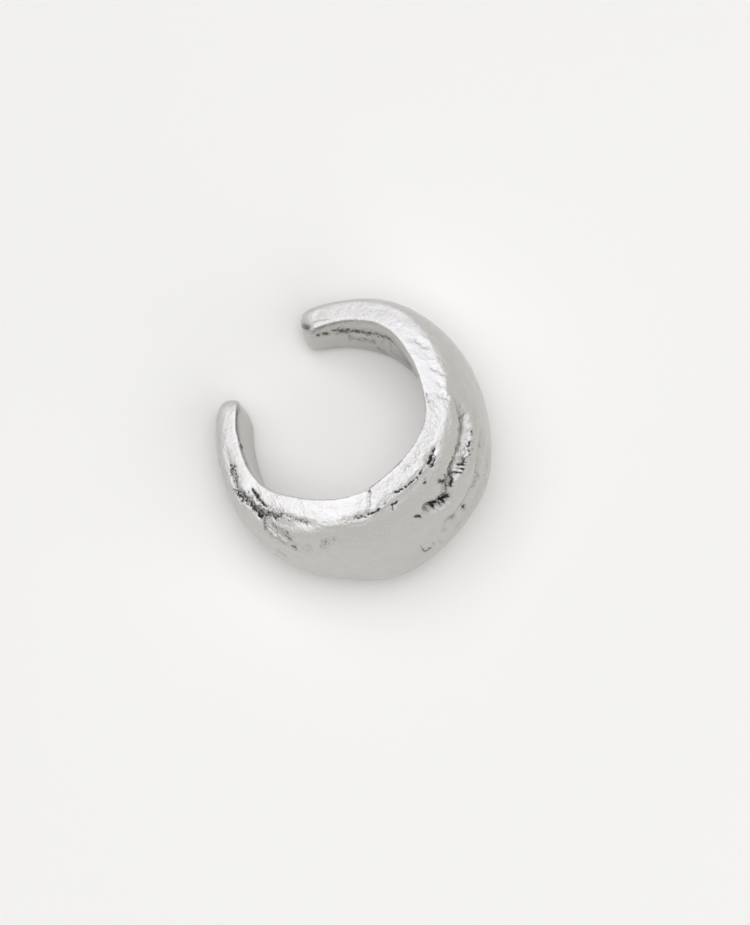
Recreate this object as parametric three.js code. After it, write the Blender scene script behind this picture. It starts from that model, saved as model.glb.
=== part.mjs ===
// A crescent ear cuff, cast in one piece of polished metal. It is open at one side, broad
// and domed opposite the opening, and narrows to two blunt tips. Its face is a bright
// facet round the hole, its dome is drawn into long furrows, and the whole skin is uneven,
// as if the metal had been poured and only rubbed bright. It lies on its side as it would
// on a table: on the lower edge of its broad part and of both arms.
import * as THREE from "three";

// Driving sizes, in millimetres.
const HOLE_LENGTH = 10.6; // inside the cuff, from the opening's middle to the broad part
const HOLE_WIDTH = 9.85; // inside the cuff, square to that
const GAP = 5.1; // clear opening between the tips
const BROAD_BAND = 8.8; // along the cuff's axis, where it is broadest
const TIP_BAND = 2.6; // along the cuff's axis, at the tips
const BROAD_WALL = 2.6; // from the hole to the outside of the dome, where it is broadest
const TIP_WALL = 1.5; // from the hole to the outside, at the tips
const UPPER_TIP_ROUNDING = 0.6; // length over which the upper arm's tip rounds off
const LEFT_TIP_ROUNDING = 1.1; // length over which the left arm's tip rounds off
const UPPER_TIP_LEAN = 0.6; // how much further the upper tip reaches at its lower edge
const RIM_ROUNDING = 0.22; // radius of the edge between the hole and a facet
const REST_FLAT = 0.07; // how deep the flats are that it lies on

// Shapes without a length.
const UPPER_TIP_BLUNTNESS = 2.8; // 2 rounds a tip off like an ellipse, more makes it squarer
const LEFT_TIP_BLUNTNESS = 2.3;
const LEAN_FADE = 5; // how fast the upper tip's lean fades down the arm
const DOME_START = 0.16; // where on a quarter of an ellipse the dome leaves the ridge
const OUTERMOST = 3; // the dome's outermost line, in the count across a section

// Steps of the skin.
const STEPS_ALONG = 108; // from tip to tip, without the rounded ends
const STEPS_TIP = 6; // over each rounded end
const UPPER_STEPS = { hole: 6, facet: 4, dome: 12 }; // of the half that faces up
const LOWER_STEPS = { hole: 5, facet: 3, dome: 9 }; // of the half that faces down

// Sections from the left tip (-1) over the broad part (0) to the upper tip (1). band and wall
// say how far a size has grown from the tips' to the broad part's. hole says how far the hole's
// wall stands out from its oval, as a share of the tips' wall. facet is the facet's width, and
// drop is how far the ridge lies below the rim, both as shares of the wall.
const SECTIONS = [
  { at: -1.0, hole: -0.04, band: 0.13, wall: 0.0, facet: 0.46, drop: 0.12 },
  { at: -0.8, hole: -0.1, band: 0.28, wall: 0.14, facet: 0.46, drop: 0.12 },
  { at: -0.6, hole: 0.02, band: 0.49, wall: 0.46, facet: 0.48, drop: 0.1 },
  { at: -0.4, hole: -0.08, band: 0.8, wall: 0.97, facet: 0.52, drop: 0.1 },
  { at: -0.2, hole: 0.02, band: 1.0, wall: 1.0, facet: 0.52, drop: 0.1 },
  { at: 0.0, hole: -0.08, band: 1.0, wall: 1.08, facet: 0.46, drop: 0.1 },
  { at: 0.2, hole: 0.03, band: 0.93, wall: 0.95, facet: 0.44, drop: 0.1 },
  { at: 0.35, hole: -0.1, band: 0.83, wall: 0.95, facet: 0.5, drop: 0.1 },
  { at: 0.5, hole: -0.08, band: 0.72, wall: 0.88, facet: 0.52, drop: 0.1 },
  { at: 0.65, hole: 0.08, band: 0.56, wall: 0.5, facet: 0.62, drop: 0.1 },
  { at: 0.8, hole: 0.06, band: 0.31, wall: 0.22, facet: 0.68, drop: 0.1 },
  { at: 1.0, hole: -0.04, band: -0.04, wall: 0.18, facet: 0.6, drop: 0.12 },
];

// Furrows, creases and dents, each along a line from one place of the skin to another. at is
// the place along the cuff, as above. across runs round the section: 0 to 1 up the hole's
// wall to the rim, to 2 over the facet to the ridge, to 3 down the dome to its outermost
// line, to 4 on to the lower ridge, and to 5 over the lower facet; below 0 it runs down the
// hole's wall. bow shifts the line's middle across. width is half the mark's width as a share
// of half the broad band, and depth is a share of the broad wall. A negative depth is raised.
const MARKS = [
  { at: 0.3, across: 2.28, toAt: 0.07, toAcross: 2.52, bow: 0.06, width: 0.1, depth: 0.09 },
  { at: 0.05, across: 2.6, toAt: -0.09, toAcross: 2.52, bow: 0.02, width: 0.1, depth: 0.07 },
  { at: 0.24, across: 2.7, toAt: -0.1, toAcross: 3.05, bow: 0.08, width: 0.08, depth: 0.035 },
  { at: -0.76, across: 2.08, toAt: -0.36, toAcross: 2.02, bow: 0.12, width: 0.1, depth: 0.05 },
  { at: -0.54, across: 2.26, toAt: -0.38, toAcross: 2.54, bow: 0.03, width: 0.09, depth: 0.04 },
  { at: -0.155, across: 0.92, toAt: -0.19, toAcross: 2.03, bow: 0.0, width: 0.05, depth: 0.05 },
  { at: 0.97, across: 0.45, toAt: 0.62, toAcross: 0.6, bow: -0.12, width: 0.07, depth: 0.04 },
  { at: 0.75, across: -0.3, toAt: 0.4, toAcross: 0.3, bow: 0.0, width: 0.07, depth: 0.035 },
  { at: 0.68, across: -0.7, toAt: 0.45, toAcross: -0.7, bow: 0.0, width: 0.09, depth: -0.1 },
  { at: 0.12, across: 2.0, toAt: 0.07, toAcross: 1.95, bow: 0.0, width: 0.06, depth: 0.06 },
  { at: -0.18, across: 2.0, toAt: -0.23, toAcross: 2.0, bow: 0.0, width: 0.05, depth: 0.04 },
  { at: -0.02, across: 4.8, toAt: 0.2, toAcross: 4.8, bow: 0.0, width: 0.22, depth: -0.24 },
  { at: 0.75, across: 2.6, toAt: 0.73, toAcross: 3.3, bow: 0.0, width: 0.2, depth: -0.03 },
  { at: 0.17, across: 2.8, toAt: 0.15, toAcross: 3.4, bow: 0.0, width: 0.2, depth: -0.035 },
  { at: -0.18, across: 2.8, toAt: -0.18, toAcross: 3.4, bow: 0.0, width: 0.2, depth: -0.04 },
  { at: -0.45, across: 2.6, toAt: -0.43, toAcross: 3.4, bow: 0.0, width: 0.2, depth: -0.035 },
  { at: -0.31, across: 2.7, toAt: -0.31, toAcross: 3.4, bow: 0.0, width: 0.2, depth: 0.03 },
];

const mix = (a, b, share) => a + (b - a) * share;

// The angle from the broad part's middle to the tips' ends, so that the gap is clear.
const TIP_ANGLE = Math.PI - Math.asin(GAP / (HOLE_WIDTH + TIP_WALL));

// The length of one arm along the tips' middle line.
const ARM_LENGTH = (TIP_ANGLE * (HOLE_WIDTH + TIP_WALL)) / 2;

// A column of the table at any place between its rows, on a curve through the rows.
function fromTable(rows, column, at) {
  let i = 1;
  while (i < rows.length - 1 && at > rows[i].at) i += 1;
  const [before, low, high, after] = [rows[i - 2] ?? rows[i - 1], rows[i - 1], rows[i], rows[i + 1] ?? rows[i]];
  const span = high.at - low.at;
  const share = THREE.MathUtils.clamp((at - low.at) / span, 0, 1);
  const slopeLow = ((high[column] - before[column]) / (high.at - before.at)) * span;
  const slopeHigh = ((after[column] - low[column]) / (after.at - low.at)) * span;
  const [s2, s3] = [share ** 2, share ** 3];
  return (
    (2 * s3 - 3 * s2 + 1) * low[column] +
    (s3 - 2 * s2 + share) * slopeLow +
    (3 * s2 - 2 * s3) * high[column] +
    (s3 - s2) * slopeHigh
  );
}

// The sizes of the section at a place between the tips.
function sectionAt(at) {
  const band = mix(TIP_BAND, BROAD_BAND, fromTable(SECTIONS, "band", at));
  const wall = mix(TIP_WALL, BROAD_WALL, fromTable(SECTIONS, "wall", at));
  return {
    hole: TIP_WALL * fromTable(SECTIONS, "hole", at),
    halfBand: band / 2,
    wall,
    facet: wall * fromTable(SECTIONS, "facet", at),
    drop: wall * fromTable(SECTIONS, "drop", at),
  };
}

// Half of a section, from the middle of the hole's wall over rim, facet and ridge to the
// outside of the dome: the distance from the hole's wall, the height, and the place across.
function halfSection({ halfBand, wall, facet, drop }, steps) {
  const points = [];
  const ridge = halfBand - drop;
  for (let i = 0; i < steps.hole; i += 1) {
    const share = i / steps.hole;
    points.push({ out: 0, up: share * (halfBand - RIM_ROUNDING), across: share });
  }
  const bevel = RIM_ROUNDING * (1 - Math.SQRT1_2);
  points.push({ out: bevel, up: halfBand - bevel, across: 1 });
  for (let i = 0; i < steps.facet; i += 1) {
    const share = i / steps.facet;
    points.push({ out: mix(RIM_ROUNDING, facet, share), up: mix(halfBand, ridge, share), across: 1 + share });
  }
  const start = (DOME_START * Math.PI) / 2;
  for (let i = 0; i <= steps.dome; i += 1) {
    const share = i / steps.dome;
    const turn = mix(start, Math.PI / 2, share);
    const outwards = (Math.sin(turn) - Math.sin(start)) / (1 - Math.sin(start));
    const upwards = Math.cos(turn) / Math.cos(start);
    points.push({ out: mix(facet, wall, outwards), up: ridge * upwards, across: 2 + share });
  }
  return points;
}

// A whole section, once round, from the middle of the hole's wall over the upper half and
// back under the lower one. The lower half's places run on past the outermost line.
function section(at) {
  const sizes = sectionAt(at);
  const upper = halfSection(sizes, UPPER_STEPS);
  const lower = halfSection(sizes, LOWER_STEPS).slice(1, -1).reverse();
  const mirrored = lower.map(({ out, up, across }) => ({
    out,
    up: -up,
    across: across < 1 ? -across : 2 * OUTERMOST - across,
  }));
  return [...upper, ...mirrored];
}

// The point of the skin at a place along the cuff, a distance from the hole's oval and a
// height. The upper tip leans, so that its lower edge reaches further than its upper one.
function placed(at, out, up) {
  const lean = (-up / TIP_BAND) * (UPPER_TIP_LEAN / ARM_LENGTH) * Math.max(at, 0) ** LEAN_FADE;
  const angle = (at + lean) * TIP_ANGLE;
  return new THREE.Vector3(
    (HOLE_LENGTH / 2 + out) * Math.cos(angle),
    (HOLE_WIDTH / 2 + out) * Math.sin(angle),
    up,
  );
}

// Where the rings stand, from tip to tip: those of a rounded end shrink to nothing.
function ringPlaces() {
  const roundedEnd = (side, rounding, bluntness) => {
    const places = [];
    for (let i = 1; i < STEPS_TIP; i += 1) {
      const turn = (i / STEPS_TIP) * (Math.PI / 2);
      const reach = Math.sin(turn) ** (2 / bluntness);
      const share = Math.cos(turn) ** (2 / bluntness);
      places.push({ at: side * mix(1 - rounding / ARM_LENGTH, 1, reach), share });
    }
    return places;
  };
  const middle = [];
  for (let i = 0; i <= STEPS_ALONG; i += 1) {
    const low = LEFT_TIP_ROUNDING / ARM_LENGTH - 1;
    const high = 1 - UPPER_TIP_ROUNDING / ARM_LENGTH;
    middle.push({ at: mix(low, high, i / STEPS_ALONG), share: 1 });
  }
  const left = roundedEnd(-1, LEFT_TIP_ROUNDING, LEFT_TIP_BLUNTNESS).reverse();
  const upper = roundedEnd(1, UPPER_TIP_ROUNDING, UPPER_TIP_BLUNTNESS);
  return [...left, ...middle, ...upper];
}

// How deep the marks are at a place of the skin: each fades like a bell to both sides.
function depthOfMarks(at, across) {
  let depth = 0;
  for (const mark of MARKS) {
    const along = (place) => place * ARM_LENGTH;
    const round = (place) => (place * BROAD_BAND) / 2;
    const line = new THREE.Vector2(along(mark.toAt - mark.at), round(mark.toAcross - mark.across));
    const from = new THREE.Vector2(along(at - mark.at), round(across - mark.across));
    const share = THREE.MathUtils.clamp(from.dot(line) / line.lengthSq(), 0, 1);
    const nearest = line.clone().multiplyScalar(share);
    nearest.y += round(mark.bow) * 4 * share * (1 - share);
    const sideways = from.distanceTo(nearest) / round(mark.width);
    depth += mark.depth * BROAD_WALL * Math.exp(-(sideways ** 2));
  }
  return depth;
}

// The closed skin before it is marked: rings joined by quads, and a fan over each end.
function plainSkin(places) {
  const loops = places.map(({ at, share }) => {
    const { hole, wall } = sectionAt(at);
    return section(at).map(({ out, up }) =>
      placed(at, hole + mix(wall / 2, out, share), up * share),
    );
  });
  const points = loops.flat();
  for (const end of [-1, 1]) {
    const { hole, wall } = sectionAt(end);
    points.push(placed(end, hole + wall / 2, 0));
  }
  const around = loops[0].length;
  const faces = [];
  for (let i = 0; i + 1 < loops.length; i += 1) {
    for (let j = 0; j < around; j += 1) {
      const next = (j + 1) % around;
      const [a, b, c, d] = [i * around + j, i * around + next, (i + 1) * around + next, (i + 1) * around + j];
      faces.push(a, b, c, a, c, d);
    }
  }
  const [firstPole, lastPole] = [points.length - 2, points.length - 1];
  const lastLoop = (loops.length - 1) * around;
  for (let j = 0; j < around; j += 1) {
    const next = (j + 1) % around;
    faces.push(firstPole, next, j);
    faces.push(lastPole, lastLoop + j, lastLoop + next);
  }
  const geometry = new THREE.BufferGeometry().setFromPoints(points);
  geometry.setIndex(faces);
  geometry.computeVertexNormals();
  return geometry;
}

// The points of the skin, sunk along its normals by the depth of the marks.
function markedPoints(geometry, places) {
  const { position, normal } = geometry.attributes;
  const points = [];
  for (let i = 0; i < position.count; i += 1) {
    points.push(new THREE.Vector3().fromBufferAttribute(position, i));
  }
  places.forEach(({ at, share }, loop) => {
    section(at).forEach(({ across }, j, all) => {
      const i = loop * all.length + j;
      const inwards = new THREE.Vector3().fromBufferAttribute(normal, i);
      points[i].addScaledVector(inwards, -share * depthOfMarks(at, across));
    });
  });
  return points;
}

// Turns the points so that the cuff lies on the lowest points of its broad part and of both
// arms, and flattens what touches.
function layDown(points) {
  const lowest = (test) => points.filter(test).reduce((low, p) => (p.z < low.z ? p : low));
  const level = new THREE.Vector3(0, 0, 1);
  let tilt = 1;
  for (let pass = 0; pass < points.length && tilt > Number.EPSILON; pass += 1) {
    const broad = lowest((p) => p.x > 0);
    const upper = lowest((p) => p.x < 0 && p.y > 0);
    const left = lowest((p) => p.x < 0 && p.y < 0);
    const normal = upper.clone().sub(broad).cross(left.clone().sub(broad)).normalize();
    const turn = new THREE.Quaternion().setFromUnitVectors(normal, level);
    points.forEach((p) => p.applyQuaternion(turn));
    tilt = 1 - normal.z;
  }
  const floor = Math.min(...points.map((p) => p.z)) + REST_FLAT;
  points.forEach((p) => p.setZ(Math.max(p.z, floor) - floor));
}

// Moves the points so that the origin is under the middle of their box.
function centre(points) {
  const box = new THREE.Box3().setFromPoints(points);
  const middle = box.getCenter(new THREE.Vector3()).setZ(0);
  points.forEach((p) => p.sub(middle));
}

// The cast body: the marked skin, lying as it rests.
function castBody() {
  const places = ringPlaces();
  const geometry = plainSkin(places);
  const points = markedPoints(geometry, places);
  layDown(points);
  centre(points);
  geometry.setFromPoints(points);
  geometry.computeVertexNormals();
  return geometry;
}

const polishedMetal = new THREE.MeshStandardMaterial({ color: 0xd4d2ce, roughness: 0.16, metalness: 1 });

const earCuff = new THREE.Mesh(castBody(), polishedMetal);
earCuff.name = "cuff";

const object = new THREE.Group();
object.add(earCuff);

export default object;
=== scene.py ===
"""The look of the ear cuff: its fine molten skin, its polished metal, the floor and the light."""
import math

import bmesh
import bpy
import numpy as np
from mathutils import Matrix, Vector, noise


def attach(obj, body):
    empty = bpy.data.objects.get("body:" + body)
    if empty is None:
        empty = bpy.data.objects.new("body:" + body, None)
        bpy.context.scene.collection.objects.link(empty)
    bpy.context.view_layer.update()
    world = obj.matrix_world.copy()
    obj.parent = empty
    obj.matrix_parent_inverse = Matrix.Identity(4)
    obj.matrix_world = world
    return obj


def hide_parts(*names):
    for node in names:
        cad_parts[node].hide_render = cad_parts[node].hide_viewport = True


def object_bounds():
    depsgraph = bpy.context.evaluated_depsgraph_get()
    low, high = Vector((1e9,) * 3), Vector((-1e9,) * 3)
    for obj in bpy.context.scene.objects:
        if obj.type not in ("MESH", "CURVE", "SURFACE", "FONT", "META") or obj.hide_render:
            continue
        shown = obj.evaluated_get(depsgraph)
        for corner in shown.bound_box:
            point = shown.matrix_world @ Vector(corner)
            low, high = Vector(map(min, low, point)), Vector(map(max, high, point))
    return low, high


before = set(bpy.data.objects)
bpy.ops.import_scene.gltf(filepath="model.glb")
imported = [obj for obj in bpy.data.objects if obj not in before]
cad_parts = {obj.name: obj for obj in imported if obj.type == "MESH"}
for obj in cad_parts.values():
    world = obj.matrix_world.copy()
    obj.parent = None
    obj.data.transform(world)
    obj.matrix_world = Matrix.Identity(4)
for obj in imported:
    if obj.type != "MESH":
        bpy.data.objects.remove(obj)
cad_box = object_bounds()

MM = 0.001

# The camera's side, and how the photograph frames the cuff
AZIMUTH = 43.4
ELEVATION = 80.1
DISTANCE = 300.0  # mm
FRAME_WIDTH = 38.15  # mm across the picture, at the cuff
AIM_RIGHT = 0.875  # the picture's middle, mm right of and above the middle of the cuff's box
AIM_UP = -1.226
SENSOR = 36.0  # mm
NEAREST = 0.01  # m, the nearest and the farthest that the camera sees
FARTHEST = 10.0
PICTURE_WIDTH = 750  # pixels
PICTURE_HEIGHT = 925
PIXELS = PICTURE_WIDTH / FRAME_WIDTH  # for each mm at the cuff

METAL = "#C7C5C1"
# The dark of pits that the plating missed, also painted in as shade and as a reflection of dark things in
# pits, creases and along the ridge and rims
PIT_AND_PAINTED_SHADE = "#2A2927"
PAPER = "#F5F4F2"

azimuth, elevation = math.radians(AZIMUTH), math.radians(ELEVATION)
BACK = np.array([
    math.sin(azimuth) * math.cos(elevation),
    -math.cos(azimuth) * math.cos(elevation),
    math.sin(elevation),
])
RIGHT = np.array([math.cos(azimuth), math.sin(azimuth), 0.0])
UP = np.cross(BACK, RIGHT)
middle = (np.array(cad_box[0]) + np.array(cad_box[1])) / 2


def node(tree, kind, settings=None, links=None):
    """Adds a node; settings are its properties or socket values, links are sockets fed by others."""
    made = tree.nodes.new(kind)
    for name, value in (settings or {}).items():
        if isinstance(name, int) or name in made.inputs:
            made.inputs[name].default_value = value
        else:
            setattr(made, name, value)
    for name, source in (links or {}).items():
        tree.links.new(source, made.inputs[name])
    return made


def linear(text):
    """An sRGB hex colour as a linear RGBA tuple."""
    parts = [int(text[i:i + 2], 16) / 255 for i in (1, 3, 5)]
    return tuple(p / 12.92 if p <= 0.04045 else ((p + 0.055) / 1.055) ** 2.4 for p in parts) + (1.0,)


def towards(side, up):
    """A direction: degrees anticlockwise from the picture's right, and degrees up from the floor."""
    turn, lift = math.radians(side) + azimuth, math.radians(up)
    return Vector((math.cos(turn) * math.cos(lift), math.sin(turn) * math.cos(lift), math.sin(lift)))


# Fine marks of the casting, by their path in the photograph (pixels of its 750 x 925). width
# is a mark's half width and ragged how far its edge wanders, both in pixels. deep is mm into
# the metal, less than 0 raised; dark is how much dark colour the metal takes there, partly for
# pits that the plating missed and partly as painted shade and a painted reflection of dark
# things in pits, creases and along the ridge and rims, less than 0 where it lifts the dark of
# the marks named before it; and rough how crumpled its skin is, up to 1.
# Pressing a mark in also moves it left and up in the picture, so a deep one's path lies a few
# pixels right of and below where it shows.
COLUMNS = ("path", "width", "ragged", "deep", "dark", "rough")
# Their dark is partly pits and partly painted shade, with a painted reflection of the dark camera along
# the ridge
EDGE_MARKS = [  # along the ragged edge between the flat face and the dome
    ([(345, 522), (366, 517), (378, 511), (392, 497), (408, 487), (420, 475), (428, 463)],
     3.0, 2.0, 0.05, 0.3, 0.7),
    ([(357, 519), (364, 517)], 1.2, 1.0, 0.03, 0.95, 0.5),
    ([(367, 516), (379, 510)], 1.5, 1.0, 0.03, 0.95, 0.6),
    ([(384, 505), (388, 500)], 1.0, 1.0, 0.02, 0.8, 0.5),
    ([(396, 493), (403, 489)], 1.4, 0.8, 0.03, 0.95, 0.5),
    ([(405, 488), (413, 482), (418, 477), (424, 469)], 1.0, 1.0, 0.03, 0.85, 0.5),
    ([(435, 449), (433, 455)], 1.5, 0.8, 0.05, 1.0, 0.5),
    ([(432, 457), (429, 462)], 3.1, 1.0, 0.06, 1.0, 0.6),
    ([(435, 457), (435, 463), (431, 467)], 1.3, 1.0, 0.03, 0.9, 0.5),
    ([(432, 459), (434, 460)], 0.5, 0.6, -0.02, -0.5, 0.3),
    ([(393, 506), (398, 503)], 1.2, 0.8, 0.03, 0.95, 0.5),
    ([(393, 507), (393, 511)], 1.1, 0.8, 0.03, 0.95, 0.5),
    ([(395, 511), (397, 510)], 1.5, 0.5, -0.05, 0.0, 0.3),
    ([(426, 479), (426, 484)], 1.1, 1.0, 0.02, 0.7, 0.4),
    ([(414, 486), (428, 474), (436, 468)], 5.0, 3.0, 0.0, 0.12, 0.5),
    ([(300, 521), (320, 525), (345, 523)], 2.5, 2.0, 0.02, 0.1, 0.5),
]
FURROW_MARKS = [  # the bright furrow and the pits at its foot
    ([(465, 417), (467, 428), (466, 440)], 3.2, 1.0, 0.18, 0.0, 0.2),
    ([(464, 447), (460, 460), (455, 472)], 3.6, 1.2, 0.18, 0.0, 0.2),
    ([(465, 411), (467, 425), (467, 440), (463, 455)], 3.5, 2.0, 0.0, 0.0, 0.25),
    ([(463, 448), (458, 462), (452, 480)], 4.5, 2.0, 0.0, 0.0, 0.4),
    ([(461, 405), (462, 407)], 1.3, 0.5, 0.08, 0.0, 0.2),
    ([(461, 418), (462, 421)], 1.1, 0.5, 0.03, 0.8, 0.3),
    ([(472, 431), (473, 434)], 1.3, 0.8, 0.03, 0.85, 0.4),
    ([(471, 443), (470, 449), (471, 453)], 1.3, 1.4, 0.02, 0.9, 0.3),
    ([(468, 455), (466, 461), (464, 468)], 1.2, 2.6, 0.02, 0.88, 0.3),
    ([(465, 459), (461, 467)], 1.1, 2.6, 0.02, 0.85, 0.3),
    ([(452, 470), (453, 478)], 1.5, 1.0, 0.03, 1.0, 0.5),
    ([(456, 474), (461, 474)], 1.3, 1.2, 0.03, 0.9, 0.5),
    ([(441, 482), (447, 482), (447, 486)], 2.2, 1.5, 0.05, 0.9, 0.7),
    ([(454, 481), (451, 486)], 1.8, 0.8, 0.05, 1.0, 0.4),
    ([(443, 475), (446, 477)], 1.3, 1.2, 0.03, 0.6, 0.6),
    ([(447, 488), (446, 495)], 1.3, 1.2, 0.03, 0.65, 0.5),
    ([(447, 501), (439, 506), (430, 509)], 5.0, 0.8, 0.38, 0.0, 0.2),
    ([(448, 496), (445, 502)], 3.2, 1.2, 0.04, 1.0, 0.7),
    ([(445, 502), (439, 505)], 3.8, 1.6, 0.04, 1.0, 0.7),
    ([(439, 505), (433, 507)], 3.0, 1.2, 0.04, 1.0, 0.7),
    ([(438, 508), (434, 510)], 1.5, 1.0, 0.03, 0.95, 0.5),
    ([(446, 510), (438, 513), (430, 515)], 2.2, 1.0, 0.0, -0.95, 0.2),
    ([(438, 502), (440, 501)], 0.9, 1.0, -0.06, -0.8, 0.6),
    ([(424, 508), (426, 507)], 1.0, 0.5, 0.02, 0.85, 0.3),
    ([(416, 517), (421, 517)], 1.6, 0.6, 0.04, 0.95, 0.4),
]
OUTER_MARKS = [  # faint furrows and spots nearer the outer edge
    ([(482, 432), (480, 455), (475, 483), (464, 505), (447, 523)], 2.2, 0.8, 0.07, 0.0, 0.15),
    ([(488, 450), (485, 478), (474, 503), (456, 527)], 2.4, 0.8, 0.06, 0.0, 0.15),
    ([(474, 405), (477, 425), (475, 450), (468, 474)], 2.4, 0.8, 0.05, 0.0, 0.15),
    ([(480, 444), (481, 447)], 0.9, 0.5, 0.02, 0.6, 0.2),
    ([(478, 474), (478, 478)], 1.5, 0.8, 0.03, 0.62, 0.3),
    ([(476, 482), (474, 486)], 1.5, 0.8, 0.03, 0.55, 0.3),
    ([(465, 505), (464, 510)], 1.1, 1.4, 0.05, 1.0, 0.6),
    ([(456, 516), (447, 522)], 1.4, 1.5, 0.03, 0.45, 0.4),
    ([(446, 529), (444, 531)], 1.2, 0.8, 0.02, 0.5, 0.3),
    ([(421, 547), (425, 552), (431, 548)], 1.1, 0.6, 0.03, 0.75, 0.3),
    ([(433, 543), (434, 545)], 1.0, 0.5, 0.02, 0.6, 0.2),
    ([(440, 541), (441, 542)], 1.1, 0.5, 0.02, 0.6, 0.2),
    ([(400, 545), (425, 537), (450, 520)], 3.0, 1.0, 0.025, 0.0, 0.1),
    ([(385, 560), (420, 556), (448, 538)], 3.0, 1.0, 0.025, 0.0, 0.1),
]
FACE_MARKS = [  # the flat face: its crease, its sparkling right half, the lobes of its edge
    ([(364, 484), (369, 493)], 1.6, 0.5, 0.07, 0.7, 0.3),
    ([(369, 491), (369, 503), (366, 516)], 1.5, 0.8, 0.09, 0.35, 0.3),
    # painted shade: a thin darker line along the face's inner rim
    ([(369, 489), (384, 476), (402, 460)], 1.0, 0.3, 0.05, 0.4, 0.1),
    ([(375, 497), (400, 478), (418, 455), (428, 430), (430, 400)], 9.0, 3.0, 0.0, 0.0, 0.6),
    ([(406, 471), (410, 465), (416, 461)], 1.3, 1.2, 0.03, 0.45, 0.4),
    ([(417, 458), (420, 452)], 1.0, 1.0, 0.02, 0.4, 0.3),
    ([(391, 470), (401, 460)], 1.0, 0.5, 0.03, 0.4, 0.2),
    ([(432, 440), (435, 440)], 1.3, 0.8, 0.02, 0.35, 0.3),
    ([(436, 360), (441, 372), (446, 384)], 3.2, 2.0, -0.05, 0.0, 0.1),
    ([(443, 388), (446, 393)], 2.0, 0.8, -0.05, 0.0, 0.1),
    ([(438, 383), (442, 388)], 1.2, 0.5, 0.04, 0.3, 0.2),
    ([(426, 393), (429, 402)], 1.0, 0.3, 0.02, 0.55, 0.2),
    ([(410, 339), (419, 341)], 2.0, 1.0, 0.03, 0.15, 0.2),
    ([(378, 311), (396, 314)], 2.0, 1.0, 0.02, 0.0, 0.2),
    ([(400, 322), (416, 330), (430, 343)], 3.0, 2.0, -0.03, 0.0, 0.2),
    ([(417, 341), (428, 347)], 2.2, 1.2, 0.07, 0.0, 0.3),
    ([(434, 368), (443, 374)], 2.4, 1.2, 0.08, 0.0, 0.3),
    ([(440, 396), (447, 398)], 2.2, 1.2, 0.07, 0.0, 0.3),
]
LEFT_MARKS = [  # the left arm and its tip
    ([(239, 409), (236, 418), (236, 430), (239, 440)], 0.9, 0.2, 0.01, 0.62, 0.1),
    ([(241, 443), (242, 449)], 1.2, 0.8, 0.02, 0.9, 0.3),
    ([(242, 451), (247, 464), (253, 472), (262, 483)], 0.8, 0.3, 0.01, 0.55, 0.1),
    ([(231, 466), (231, 474)], 3.0, 1.5, 0.05, 0.7, 0.8),
    ([(234, 466), (236, 474), (234, 480)], 2.0, 1.5, 0.04, 0.7, 0.8),
    ([(237, 474), (237, 486), (240, 492)], 1.3, 0.8, 0.03, 0.62, 0.4),
    ([(243, 485), (246, 489)], 3.6, 0.5, -0.08, 0.05, 0.1),
    ([(235, 489), (240, 494), (242, 501)], 2.2, 2.0, 0.04, 0.78, 0.8),
    ([(246, 498), (247, 506)], 1.4, 1.5, 0.03, 0.6, 0.7),
    ([(252, 490), (259, 499), (267, 507)], 2.2, 0.8, 0.06, 0.85, 0.4),
    ([(252, 496), (257, 504), (269, 510)], 1.3, 0.8, -0.1, -0.8, 0.3),
    ([(243, 495), (250, 502), (258, 510), (267, 515), (280, 516)], 4.6, 2.5, 0.05, 0.68, 0.9),
    ([(251, 505), (257, 513), (263, 518)], 1.8, 1.5, 0.04, 0.9, 0.6),
    ([(270, 508), (290, 517), (306, 524)], 2.4, 0.8, 0.04, 0.55, 0.3),
    ([(283, 519), (297, 523), (311, 525)], 1.0, 0.8, 0.03, 0.5, 0.2),
    ([(261, 516), (264, 524), (266, 530), (276, 539)], 1.5, 1.2, 0.04, 0.58, 0.5),
    ([(271, 524), (285, 531), (290, 540)], 2.6, 1.2, 0.03, 0.52, 0.5),
    ([(268, 528), (275, 535)], 2.0, 1.5, -0.12, -0.8, 0.5),
    ([(278, 536), (287, 543)], 2.0, 1.5, -0.12, -0.8, 0.5),
    ([(292, 546), (297, 549)], 1.5, 1.0, 0.03, 0.6, 0.4),
    ([(305, 547), (309, 549)], 1.8, 1.0, -0.12, 0.0, 0.2),
    ([(322, 541), (321, 548)], 1.3, 0.8, 0.03, 0.6, 0.4),
    ([(326, 540), (325, 548)], 1.3, 0.8, 0.03, 0.6, 0.4),
    ([(330, 540), (329, 546)], 1.0, 0.8, 0.02, 0.55, 0.3),
    ([(334, 538), (334, 543)], 1.0, 0.8, 0.02, 0.55, 0.3),
    ([(277, 550), (286, 557)], 1.4, 0.8, 0.03, 0.4, 0.3),
]
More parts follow.
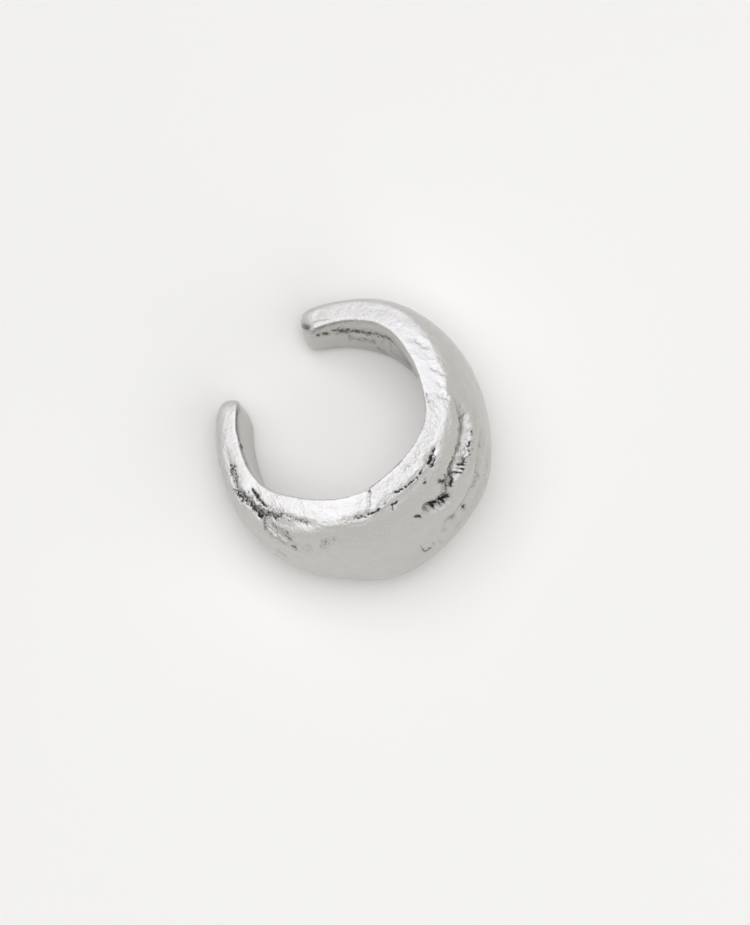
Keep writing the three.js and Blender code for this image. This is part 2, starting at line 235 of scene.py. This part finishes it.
UPPER_MARKS = [  # the upper tip and the wall of the hole below the upper arm
    ([(303, 327), (306, 328)], 4.4, 0.3, 0.08, 0.76, 0.1),
    ([(311, 322), (320, 320), (330, 319)], 0.9, 0.4, 0.02, 0.45, 0.1),
    ([(307, 332), (318, 328), (330, 323)], 0.8, 0.3, 0.01, 0.45, 0.1),
    ([(317, 335), (319, 335)], 1.5, 0.8, 0.03, 0.8, 0.4),
    ([(323, 334), (328, 334)], 1.7, 0.8, 0.03, 0.7, 0.4),
    ([(332, 331), (341, 330)], 1.8, 1.2, 0.03, 0.75, 0.5),
    ([(340, 330), (352, 331), (361, 332), (374, 334)], 2.1, 1.2, 0.04, 0.78, 0.6),
    ([(353, 331), (359, 331)], 1.4, 0.8, 0.03, 0.9, 0.5),
    ([(376, 334), (386, 337), (391, 341)], 1.8, 1.2, 0.03, 0.78, 0.5),
    ([(394, 344), (397, 347)], 1.3, 0.8, 0.03, 0.8, 0.4),
    ([(335, 332), (346, 332), (350, 338), (359, 339), (375, 342)], 1.6, 1.5, 0.03, 0.5, 0.5),
    ([(382, 341), (390, 346), (398, 353)], 1.0, 0.3, -0.12, -0.6, 0.1),
    ([(378, 348), (390, 356), (400, 362)], 1.6, 1.0, 0.03, 0.5, 0.4),
    ([(390, 350), (400, 358), (411, 368)], 1.2, 1.0, 0.03, 0.5, 0.4),
    ([(392, 342), (399, 350), (410, 366)], 1.2, 0.8, 0.04, 0.6, 0.5),
    ([(396, 356), (404, 363), (411, 371)], 1.2, 0.3, -0.08, -0.9, 0.1),
    ([(402, 360), (410, 368), (418, 384)], 1.2, 0.5, 0.04, 0.25, 0.2),
    ([(416, 376), (420, 390)], 1.0, 0.3, -0.05, 0.0, 0.1),
]
MARKS = [
    dict(zip(COLUMNS, row))
    for row in EDGE_MARKS + FURROW_MARKS + OUTER_MARKS + FACE_MARKS + LEFT_MARKS + UPPER_MARKS
]

# The lip that the flat face ends in. The dome lies drop mm below it within over pixels, comes
# back within back pixels, and does so between two angles round the hole (degrees clockwise
# from the picture's right), fading over fade_in and fade_out of them.
EDGE_LINE = [
    (300, 521), (320, 526), (345, 523), (366, 517), (378, 511), (392, 497), (408, 487),
    (420, 475), (428, 463), (436, 448),
]
HOLE_MIDDLE = (340, 430)
LIP = {
    "drop": 0.09, "over": 5, "back": 32, "ragged": 1.5,
    "first": 12, "fade_in": 8, "last": 108, "fade_out": 25,
}

# The foot of the bright furrow's outer wall, how wide that wall shows, in pixels, and how
# steep it is, in mm for each pixel
FURROW_LINE = [
    {"across": 465.5, "down": 406, "wide": 0.8, "steep": 0.03},
    {"across": 467.5, "down": 420, "wide": 2.6, "steep": 0.032},
    {"across": 467.5, "down": 433, "wide": 5.4, "steep": 0.036},
    {"across": 465.0, "down": 448, "wide": 6.6, "steep": 0.042},
    {"across": 460.5, "down": 462, "wide": 6.6, "steep": 0.044},
    {"across": 456.5, "down": 475, "wide": 5.0, "steep": 0.044},
    {"across": 453.0, "down": 486, "wide": 2.9, "steep": 0.036},
]
FURROW_INNER = 12.0  # pixels over which the dome goes down to the foot
FURROW_FADE = {"above": 2, "inside": 6, "below": 6}  # pixels over which its ends run out
FURROW_RAGGED = 2.5  # how far its line wanders

# Where the tumbling left the skin satin rather than bright, by paths and widths in pixels
SATIN = [
    {"path": [(305, 318), (340, 308), (385, 306), (415, 325)], "width": 12.0, "satin": 0.22},
    {"path": [(226, 408), (226, 450), (238, 482)], "width": 10.0, "satin": 0.22},
]

# The casting's own unevenness: the grain and the height of its lumps, mm, and a seed for each.
# The streaks run along the band, as if it were bent round a much smaller radius.
LUMPS = [
    {"grain": 1.1, "height": 0.016, "seed": 4},
    {"grain": 0.4, "height": 0.008, "seed": 5},
    {"grain": 0.18, "height": 0.005, "seed": 6},
]
STREAKS = {"grain": 0.35, "height": 0.014, "seed": 7, "radius": 1.3}
CRUMPLES = {"grain": 0.22, "height": 0.05, "seed": 3}  # where a mark leaves the skin crumpled
WANDER = {"grain": 0.2, "seeds": (1, 2), "reach": 2}  # of a mark's edge; reach multiplies ragged
NOISE = {"fall": 1.0, "finer": 2.0, "layers": 3}  # how its finer layers weaken, and their count
SEED_STEP = (17.3, 5.1, 11.7)  # grains between the noises of two seeds
SEEN_FULLY = 0.2  # how much the skin faces the camera where marks reach their full depth
FREE_HEIGHT = 0.5  # mm above the floor where they do; lower down they fade, so that it lies flat
SAME_POINT = 1e-7  # m
ROUNDING_STEPS = 2


def smooth_step(low, high, value):
    """0 below low, 1 above high and smooth between."""
    share = np.clip((value - low) / (high - low), 0, 1)
    return share * share * (3 - 2 * share)


def noise_at(points, grain, seed):
    """Noise about 0 at the points, mm, with lumps of that grain, mm."""
    shift = Vector([step * seed for step in SEED_STEP])
    return np.array([
        noise.fractal(Vector(p) / grain + shift, NOISE["fall"], NOISE["finer"], NOISE["layers"])
        for p in points
    ])


def picture_places(points):
    """Where the points, mm, show in the photograph, in its pixels."""
    offset = points - middle / MM
    scale = PIXELS * DISTANCE / (DISTANCE - offset @ BACK)
    across = PICTURE_WIDTH / 2 + (offset @ RIGHT) * scale - AIM_RIGHT * PIXELS
    down = PICTURE_HEIGHT / 2 - (offset @ UP) * scale + AIM_UP * PIXELS
    return np.stack([across, down], axis=1)


def path_distance(places, path):
    """How far each place is from the path, in pixels."""
    nearest = np.full(len(places), np.inf)
    corners = [np.array(corner, float) for corner in path]
    for start, end in zip(corners[:-1], corners[1:]):
        step = end - start
        share = np.clip((places - start) @ step / (step @ step), 0, 1)
        nearest = np.minimum(nearest, np.linalg.norm(places - start - share[:, None] * step, axis=1))
    return nearest


def bell(places, path, width):
    """1 on the path, fading like a bell to both sides."""
    return np.exp(-(path_distance(places, path) / width) ** 2)


def lip_drop(places):
    """How far the dome lies below the face's lip just past it, mm; it comes back farther out."""
    line = np.array(EDGE_LINE[::-1], float) - HOLE_MIDDLE
    offset = places - HOLE_MIDDLE
    turn = np.degrees(np.arctan2(offset[:, 1], offset[:, 0]))
    line_turn = np.degrees(np.arctan2(line[:, 1], line[:, 0]))
    reach = np.interp(turn, line_turn, np.hypot(line[:, 0], line[:, 1]))
    past = np.hypot(offset[:, 0], offset[:, 1]) - reach
    across = smooth_step(0, LIP["over"], past) * (1 - smooth_step(LIP["over"], LIP["back"], past))
    begins = smooth_step(LIP["first"], LIP["first"] + LIP["fade_in"], turn)
    ends = smooth_step(LIP["last"] - LIP["fade_out"], LIP["last"], turn)
    return LIP["drop"] * across * begins * (1 - ends)


def furrow_drop(places):
    """How deep the bright furrow lies, mm: a long way down to its foot and a steep wall up."""
    rows = {name: [row[name] for row in FURROW_LINE] for name in FURROW_LINE[0]}
    top, bottom = rows["down"][0], rows["down"][-1]
    down = places[:, 1]
    past = places[:, 0] - np.interp(down, rows["down"], rows["across"])
    wide = np.interp(down, rows["down"], rows["wide"])
    steep = np.interp(down, rows["down"], rows["steep"])
    across = smooth_step(-FURROW_INNER, 0, past) * (1 - smooth_step(0, 1, past / wide))
    begins = smooth_step(top - FURROW_FADE["above"], top + FURROW_FADE["inside"], down)
    ends = smooth_step(bottom - FURROW_FADE["inside"], bottom + FURROW_FADE["below"], down)
    return steep * wide * across * begins * (1 - ends)


def fine_mesh(cad):
    """The model's skin, with its triangles joined to quads and rounded in steps."""
    work = bmesh.new()
    work.from_mesh(cad.data)
    bmesh.ops.remove_doubles(work, verts=work.verts, dist=SAME_POINT)
    bmesh.ops.join_triangles(
        work, faces=work.faces, angle_face_threshold=math.pi, angle_shape_threshold=math.pi)
    rough = bpy.data.meshes.new("rough_skin")
    work.to_mesh(rough)
    work.free()
    holder = bpy.data.objects.new("rough_skin", rough)
    bpy.context.scene.collection.objects.link(holder)
    rounding = holder.modifiers.new("rounding", "SUBSURF")
    rounding.levels = rounding.render_levels = ROUNDING_STEPS
    graph = bpy.context.evaluated_depsgraph_get()
    mesh = bpy.data.meshes.new_from_object(holder.evaluated_get(graph))
    bpy.data.objects.remove(holder)
    return mesh


def vectors_of(items, name):
    """A vector of each item, one to a row."""
    values = np.zeros(len(items) * 3)
    items.foreach_get(name, values)
    return values.reshape(-1, 3)


def write_shares(mesh, name, values):
    """Keeps a number for each point of the mesh for the material to read."""
    layer = mesh.attributes.new(name, "FLOAT", "POINT")
    layer.data.foreach_set("value", values.astype(np.float32))


def unevenness(points):
    """How deep the casting's own lumps and streaks are, mm."""
    turn = np.arctan2(points[:, 1], points[:, 0])
    reach = np.hypot(points[:, 0], points[:, 1])
    along = np.stack([turn * STREAKS["radius"], reach, points[:, 2]], axis=1)
    deep = STREAKS["height"] * noise_at(along, STREAKS["grain"], STREAKS["seed"])
    for row in LUMPS:
        deep += row["height"] * noise_at(points, row["grain"], row["seed"])
    return deep


def pressed_marks(places, wander, seen):
    """How deep, how dark and how crumpled the marks leave each place."""
    deep, dark, rough = np.zeros((3, len(places)))
    for mark in MARKS:
        moved = places + wander * mark["ragged"] * WANDER["reach"]
        share = bell(moved, mark["path"], mark["width"]) * seen
        deep += mark["deep"] * share
        # dark adds up pits and painted shade alike; less than 0 lifts both
        if mark["dark"] >= 0:
            dark = np.maximum(dark, mark["dark"] * share)
        else:
            dark = dark * (1 + mark["dark"] * share)
        rough = np.maximum(rough, mark["rough"] * share)
    return deep, dark, rough


def satin_at(places, seen):
    """How satin the skin is at each place."""
    satin = np.zeros(len(places))
    for row in SATIN:
        satin = np.maximum(satin, row["satin"] * bell(places, row["path"], row["width"]) * seen)
    return satin


def mark_skin(mesh):
    """Presses the marks and the unevenness into the mesh, and keeps it inside the solid's box."""
    points = vectors_of(mesh.vertices, "co") / MM
    normals = vectors_of(mesh.vertex_normals, "vector")
    seen = smooth_step(0.0, SEEN_FULLY, normals @ BACK)
    places = picture_places(points)
    wander = np.stack([noise_at(points, WANDER["grain"], seed) for seed in WANDER["seeds"]], axis=1)
    deep, dark, rough = pressed_marks(places, wander, seen)
    deep += unevenness(points)
    deep += CRUMPLES["height"] * noise_at(points, CRUMPLES["grain"], CRUMPLES["seed"]) * rough
    deep += lip_drop(places + wander * LIP["ragged"]) * seen
    deep += furrow_drop(places + wander * FURROW_RAGGED) * seen
    deep *= smooth_step(0.0, FREE_HEIGHT, points[:, 2])
    lowest, highest = np.array(cad_box) / MM
    points = np.clip(points - normals * deep[:, None], lowest, highest)
    mesh.vertices.foreach_set("co", (points * MM).ravel())
    # dark carries pits and painted shade to the material's colour
    write_shares(mesh, "dark", dark)
    write_shares(mesh, "rough", rough)
    write_shares(mesh, "satin", satin_at(places, seen))
    mesh.update()


# The metal's patterns, by the size of their grain in mm: the specks that break its pits and
# its painted shade up, the patches that the tumbling left brighter or duller, and the casting's
# own grain. Real pits and a real casting's grain are a few hundredths of a mm; both are drawn
# coarser here, or they wouldn't show in the picture.
SPECK_GRAIN = 0.1
SHEEN_GRAIN = 2 / 3
CASTING_GRAIN = 1 / 7
SPECK_SPREAD = 1.5  # how strongly the specks break a pit up
BLACK_FROM = 0.4  # where a speck of pit and painted shade starts to blacken and where it is black
BLACK_FULL = 0.85
STAIN_AND_SHADE = 0.3  # how dark pits and painted shade are between their specks
GLOSS = {"low": 0.3, "high": 0.7, "bright": 0.12, "dull": 0.26}  # noise levels and roughnesses
BUMP = {"smooth": 0.048, "crumpled": 0.12}  # mm


def empty_material(name):
    """A material without nodes, and its tree."""
    made = bpy.data.materials.new(name)
    made.use_nodes = True
    made.node_tree.nodes.clear()
    return made, made.node_tree


def pit_and_shade_share(tree, place, dark):
    """How much dark shows: pits and painted shade in ragged specks, stained between them."""
    speck = node(tree, "ShaderNodeTexNoise", {
        "Scale": 1 / (SPECK_GRAIN * MM), "Detail": 3.0}, {"Vector": place})
    ragged = node(tree, "ShaderNodeMath", {
        "operation": "MULTIPLY_ADD", 1: SPECK_SPREAD, 2: -SPECK_SPREAD / 2}, {0: speck.outputs["Fac"]})
    speck_darkness = node(tree, "ShaderNodeMath", {"operation": "ADD"}, {0: dark, 1: ragged.outputs[0]})
    black = node(tree, "ShaderNodeMapRange", {
        "From Min": BLACK_FROM, "From Max": BLACK_FULL}, {"Value": speck_darkness.outputs[0]})
    share = node(tree, "ShaderNodeMath", {
        "operation": "MULTIPLY_ADD", 1: STAIN_AND_SHADE, "use_clamp": True}, {0: dark, 2: black.outputs[0]})
    return share.outputs[0]


def metal_material():
    """Cast brass, tumbled and plated in a silver colour.

    The tumbling gives the eye a bright skin that mirrors the room softly and unevenly; the
    casting under it leaves a fine grain, and pits that the plating missed and that are dark.
    The same dark is painted in as shade, and as a reflection of dark things, in pits and
    creases and along the ridge and rims.
    """
    made, tree = empty_material("silver_plated_brass_cast_and_tumbled")
    place = node(tree, "ShaderNodeTexCoord").outputs["Object"]
    dark, rough, satin = [
        node(tree, "ShaderNodeAttribute", {"attribute_name": name}).outputs["Fac"]
        for name in ("dark", "rough", "satin")
    ]
    # Painted shade: the dark colour goes into creases, the ridge and rims as well as into pits
    colour = node(tree, "ShaderNodeMix", {
        "data_type": "RGBA", 6: linear(METAL), 7: linear(PIT_AND_PAINTED_SHADE)}, {0: pit_and_shade_share(tree, place, dark)})
    sheen = node(tree, "ShaderNodeTexNoise", {
        "Scale": 1 / (SHEEN_GRAIN * MM), "Detail": 3.0}, {"Vector": place})
    tumbled = node(tree, "ShaderNodeMapRange", {
        "From Min": GLOSS["low"], "From Max": GLOSS["high"],
        "To Min": GLOSS["bright"], "To Max": GLOSS["dull"]}, {"Value": sheen.outputs["Fac"]})
    gloss = node(tree, "ShaderNodeMath", {"operation": "ADD"}, {0: tumbled.outputs[0], 1: satin})
    casting = node(tree, "ShaderNodeTexNoise", {
        "Scale": 1 / (CASTING_GRAIN * MM), "Detail": 4.0, "Roughness": 0.6}, {"Vector": place})
    height = node(tree, "ShaderNodeMapRange", {
        "To Min": BUMP["smooth"] * MM, "To Max": BUMP["crumpled"] * MM}, {"Value": rough})
    bump = node(tree, "ShaderNodeBump", {"Strength": 1.0}, {
        "Height": casting.outputs["Fac"], "Distance": height.outputs[0]})
    shader = node(tree, "ShaderNodeBsdfPrincipled", {"Metallic": 1.0}, {
        "Base Color": colour.outputs[2], "Roughness": gloss.outputs[0], "Normal": bump.outputs["Normal"]})
    node(tree, "ShaderNodeOutputMaterial", None, {"Surface": shader.outputs["BSDF"]})
    return made


def paper_material():
    """Uncoated white paper, which scatters all light: it shows the soft shadow and mirrors nothing."""
    made, tree = empty_material("matt_white_paper")
    shader = node(tree, "ShaderNodeBsdfPrincipled", {
        "Base Color": linear(PAPER), "Roughness": 0.9, "Specular IOR Level": 0.0})
    node(tree, "ShaderNodeOutputMaterial", None, {"Surface": shader.outputs["BSDF"]})
    return made


# The camera
lens = bpy.data.cameras.new("camera")
camera = bpy.data.objects.new("camera", lens)
bpy.context.scene.collection.objects.link(camera)
bpy.context.scene.camera = camera
aim = middle + (RIGHT * AIM_RIGHT + UP * AIM_UP) * MM
lens.sensor_fit = "HORIZONTAL"
lens.sensor_width = SENSOR
lens.lens = SENSOR * DISTANCE / FRAME_WIDTH
lens.clip_start = NEAREST
lens.clip_end = FARTHEST
camera.location = Vector(aim + BACK * DISTANCE * MM)
camera.rotation_euler = Vector(BACK).to_track_quat("Z", "Y").to_euler()

# The cuff
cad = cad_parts["cuff"]
skin = fine_mesh(cad)
mark_skin(skin)
cuff = bpy.data.objects.new("cuff_skin", skin)
bpy.context.scene.collection.objects.link(cuff)
skin.materials.clear()
skin.materials.append(metal_material())
for face in skin.polygons:
    face.use_smooth = True
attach(cuff, "root")
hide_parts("cuff")

# The floor
FLOOR_SIZE = 3.0  # m
FLOOR_GAP = 0.01  # mm below the cuff
bpy.ops.mesh.primitive_plane_add(size=FLOOR_SIZE, location=(0, 0, -FLOOR_GAP * MM))
floor = bpy.context.object
floor.name = "floor"
floor.data.materials.append(paper_material())

# What the metal mirrors: directions on the studio's walls, how far a light or a dark thing
# reaches (degrees, its full and its last edge), how bright it is and its tint
PLAIN = "#FFFFFE"
COOL = "#F6F7FF"
STUDIO = [
    {  # the white wall at the upper left
        "side": 135, "up": 50, "full": 25, "last": 78, "bright": 1.94, "tint": COOL},
    {  # the white wall behind
        "side": 92, "up": 15, "full": 10, "last": 38, "bright": 1.55, "tint": COOL},
    {  # the camera
        "side": -90, "up": ELEVATION, "full": 2, "last": 6, "bright": 0.3, "tint": PLAIN},
]
WALL_BRIGHT = 0.86
WALLS_ON_PAPER = 0.05  # how much of the walls' light reaches the paper past the lamp's


def studio_world():
    """Pale walls, white ones at the upper left and behind, and the dark camera overhead."""
    made = bpy.data.worlds.new("studio")
    bpy.context.scene.world = made
    made.use_nodes = True
    tree = made.node_tree
    tree.nodes.clear()
    place = node(tree, "ShaderNodeTexCoord").outputs["Generated"]
    bright = node(tree, "ShaderNodeValue").outputs[0]
    bright.default_value = WALL_BRIGHT
    tint = node(tree, "ShaderNodeRGB").outputs[0]
    tint.default_value = linear(PLAIN)
    for row in STUDIO:
        facing = node(tree, "ShaderNodeVectorMath", {
            "operation": "DOT_PRODUCT", 1: towards(row["side"], row["up"])}, {0: place})
        there = node(tree, "ShaderNodeMapRange", {
            "interpolation_type": "SMOOTHSTEP",
            "From Min": math.cos(math.radians(row["last"])),
            "From Max": math.cos(math.radians(row["full"]))}, {"Value": facing.outputs["Value"]})
        share = there.outputs["Result"]
        bright = node(tree, "ShaderNodeMix", {
            "data_type": "FLOAT", 3: row["bright"]}, {0: share, 2: bright}).outputs[0]
        tint = node(tree, "ShaderNodeMix", {
            "data_type": "RGBA", 7: linear(row["tint"])}, {0: share, 6: tint}).outputs[2]
    path = node(tree, "ShaderNodeLightPath")
    dimmed = node(tree, "ShaderNodeMapRange", {
        "To Min": 1.0, "To Max": WALLS_ON_PAPER}, {"Value": path.outputs["Is Diffuse Ray"]})
    total = node(tree, "ShaderNodeMath", {"operation": "MULTIPLY"}, {0: bright, 1: dimmed.outputs[0]})
    shine = node(tree, "ShaderNodeBackground", None, {"Color": tint, "Strength": total.outputs[0]})
    node(tree, "ShaderNodeOutputWorld", None, {"Surface": shine.outputs["Background"]})


# The lamps light the paper alone; the metal mirrors the walls, which stand for them
LAMP_DISTANCE = 0.5  # m
LAMPS = [
    {"name": "key_softbox", "side": 150, "up": 80, "size": 0.5, "power": 1.68},
    {"name": "fill_softbox", "side": -30, "up": 60, "size": 0.6, "power": 1.0},
    {"name": "low_fill_softbox", "side": -35, "up": 30, "size": 0.6, "power": 0.75},
]


def softbox(name, side, up, size, power):
    """A square lamp, size in m and power in W, that the metal doesn't mirror."""
    away = towards(side, up)
    lamp = bpy.data.lights.new(name, "AREA")
    lamp.shape = "SQUARE"
    lamp.size = size
    lamp.energy = power
    made = bpy.data.objects.new(name, lamp)
    bpy.context.scene.collection.objects.link(made)
    made.location = away * LAMP_DISTANCE
    made.rotation_euler = away.to_track_quat("Z", "Y").to_euler()
    made.visible_glossy = False


studio_world()
for lamp_row in LAMPS:
    softbox(**lamp_row)
bpy.context.scene.view_settings.view_transform = "Standard"
